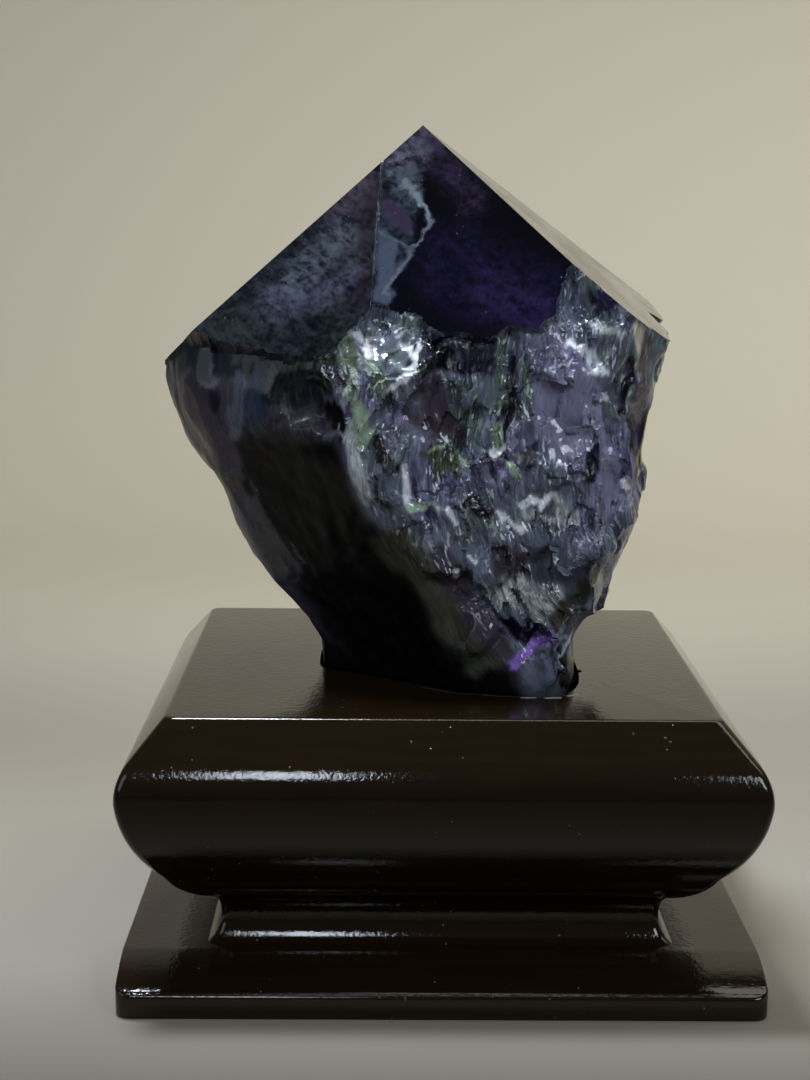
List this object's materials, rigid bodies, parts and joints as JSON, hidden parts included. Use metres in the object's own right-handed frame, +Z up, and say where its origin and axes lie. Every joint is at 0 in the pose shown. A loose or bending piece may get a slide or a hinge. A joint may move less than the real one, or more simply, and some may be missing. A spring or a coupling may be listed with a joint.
{
  "type": "amethyst point on a stand",
  "caption": "Raw amethyst point with a polished six-faced tip and a broken, streaked body, set in the socket of a square moulded, lacquered wooden stand.",
  "frame": {"origin": "middle of the stand's flat underside, on the table", "axes": "+Z up through the stand and the stone's tip; -Y the side that the large polished face looks to; +X to the right seen from there"},
  "size_m": [0.0654, 0.0654, 0.0888],
  "materials": {
    "amethyst": "polished tip, broken body",
    "lacquered_wood": "dark high-gloss lacquer"
  },
  "bodies": {
    "root": {"amethyst": "amethyst", "stand": "lacquered_wood"}
  },
  "joints": []
}
